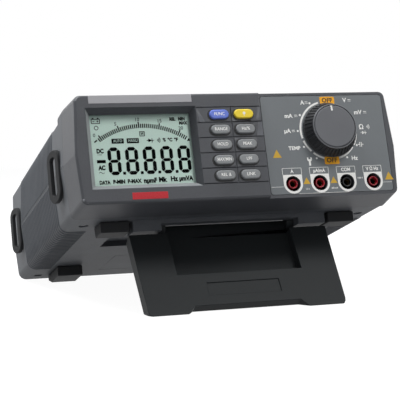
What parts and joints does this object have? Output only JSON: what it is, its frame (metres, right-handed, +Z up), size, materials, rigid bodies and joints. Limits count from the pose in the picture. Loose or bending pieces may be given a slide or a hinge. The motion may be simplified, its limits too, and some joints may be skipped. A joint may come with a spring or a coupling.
{
  "type": "bench multimeter",
  "caption": "Bench multimeter with a recessed liquid-crystal display, push keys, a rotary function switch, banana input jacks, side guard rings and a fold-out tilt stand.",
  "frame": {"origin": "on the surface it stands on, at the middle of its bounding box", "axes": "+X to the instrument's right as its front is faced, +Y from the front to the rear, +Z up; the instrument is stored tilted back on its deployed stand"},
  "size_m": [0.2448, 0.2632, 0.1458],
  "materials": {
    "bezel_plastic": "fine spark-eroded dark grey",
    "panel_film": "fine-textured mid grey",
    "case_plastic": "fine-textured grey",
    "clear_lens": "clear gloss",
    "lcd_glass": "pale green reflective display",
    "board": "green solder mask",
    "grey_key": "satin grey",
    "blue_key": "satin blue",
    "yellow_key": "satin yellow",
    "silicone": "matt translucent grey",
    "black_plastic": "matt black",
    "cap_plastic": "satin grey",
    "red_plastic": "dark red, semi-gloss",
    "black_rubber": "matt black",
    "brass": "plated",
    "steel": "zinc plated",
    "cell_wrap": "plastic wrap",
    "fuse_body": "ceramic"
  },
  "bodies": {
    "instrument": {"adapter_socket": "black_plastic", "battery_cell_1": "cell_wrap", "battery_cell_2": "cell_wrap", "battery_cell_3": "cell_wrap", "battery_cell_4": "cell_wrap", "battery_door": "case_plastic", "battery_tray": "black_plastic", "case_screw_front_left": "steel", "case_screw_front_right": "steel", "case_screw_rear_left": "steel", "case_screw_rear_right": "steel", "display_window": "clear_lens", "front_bezel": "bezel_plastic", "front_board": "board", "front_foot_left": "black_rubber", "front_foot_right": "black_rubber", "function_panel": "panel_film", "fuse_block": "black_plastic", "fuse_high_range": "fuse_body", "fuse_low_range": "fuse_body", "jack_contact_amp": "brass", "jack_contact_common": "brass", "jack_contact_milliamp": "brass", "jack_contact_volt": "brass", "jack_sleeve_amp": "red_plastic", "jack_sleeve_common": "black_plastic", "jack_sleeve_milliamp": "red_plastic", "jack_sleeve_volt": "red_plastic", "keypad_mat": "silicone", "lcd_panel": "lcd_glass", "lower_case": "case_plastic", "main_board": "board", "rear_foot_left": "black_rubber", "rear_foot_right": "black_rubber", "rear_panel": "case_plastic", "serial_port": "steel", "shield_can": "steel", "side_guard_front_left": "black_rubber", "side_guard_front_right": "black_rubber", "side_guard_rear_left": "black_rubber", "side_guard_rear_right": "black_rubber", "stand_pin_left": "steel", "stand_pin_right": "steel", "terminal_block": "black_plastic", "upper_case": "case_plastic"},
    "stand": {"tilt_stand": "case_plastic"},
    "knob": {"rotary_knob": "black_plastic", "knob_cap": "cap_plastic", "switch_shaft": "steel", "switch_rotor": "silicone"},
    "key_function": {"key_function": "blue_key"},
    "key_range": {"key_range": "grey_key"},
    "key_hold": {"key_hold": "grey_key"},
    "key_max_min": {"key_max_min": "grey_key"},
    "key_relative": {"key_relative": "grey_key"},
    "key_backlight": {"key_backlight": "yellow_key"},
    "key_frequency": {"key_frequency": "grey_key"},
    "key_peak": {"key_peak": "grey_key"},
    "key_filter": {"key_filter": "grey_key"},
    "key_link": {"key_link": "grey_key"}
  },
  "joints": [
    {"name": "stand_hinge", "type": "hinge", "parent": "instrument", "child": "stand", "pos_m": [0, -0.08179, 0.05459], "axis": [1, 0, 0], "range_deg": [0, 112.5]},
    {"name": "knob_turn", "type": "hinge", "parent": "instrument", "child": "knob", "pos_m": [0.0674, -0.11327, 0.11908], "axis": [0, 0.9588, -0.284], "continuous": true},
    {"name": "key_function_press", "type": "slide", "parent": "instrument", "child": "key_function", "axis": [0, 0.9588, -0.284], "range_m": [0, 0.0015], "stiffness_N_per_m": 400, "springref_m": -0.001},
    {"name": "key_range_press", "type": "slide", "parent": "instrument", "child": "key_range", "axis": [0, 0.9588, -0.284], "range_m": [0, 0.0015], "stiffness_N_per_m": 400, "springref_m": -0.001},
    {"name": "key_hold_press", "type": "slide", "parent": "instrument", "child": "key_hold", "axis": [0, 0.9588, -0.284], "range_m": [0, 0.0015], "stiffness_N_per_m": 400, "springref_m": -0.001},
    {"name": "key_max_min_press", "type": "slide", "parent": "instrument", "child": "key_max_min", "axis": [0, 0.9588, -0.284], "range_m": [0, 0.0015], "stiffness_N_per_m": 400, "springref_m": -0.001},
    {"name": "key_relative_press", "type": "slide", "parent": "instrument", "child": "key_relative", "axis": [0, 0.9588, -0.284], "range_m": [0, 0.0015], "stiffness_N_per_m": 400, "springref_m": -0.001},
    {"name": "key_backlight_press", "type": "slide", "parent": "instrument", "child": "key_backlight", "axis": [0, 0.9588, -0.284], "range_m": [0, 0.0015], "stiffness_N_per_m": 400, "springref_m": -0.001},
    {"name": "key_frequency_press", "type": "slide", "parent": "instrument", "child": "key_frequency", "axis": [0, 0.9588, -0.284], "range_m": [0, 0.0015], "stiffness_N_per_m": 400, "springref_m": -0.001},
    {"name": "key_peak_press", "type": "slide", "parent": "instrument", "child": "key_peak", "axis": [0, 0.9588, -0.284], "range_m": [0, 0.0015], "stiffness_N_per_m": 400, "springref_m": -0.001},
    {"name": "key_filter_press", "type": "slide", "parent": "instrument", "child": "key_filter", "axis": [0, 0.9588, -0.284], "range_m": [0, 0.0015], "stiffness_N_per_m": 400, "springref_m": -0.001},
    {"name": "key_link_press", "type": "slide", "parent": "instrument", "child": "key_link", "axis": [0, 0.9588, -0.284], "range_m": [0, 0.0015], "stiffness_N_per_m": 400, "springref_m": -0.001}
  ]
}
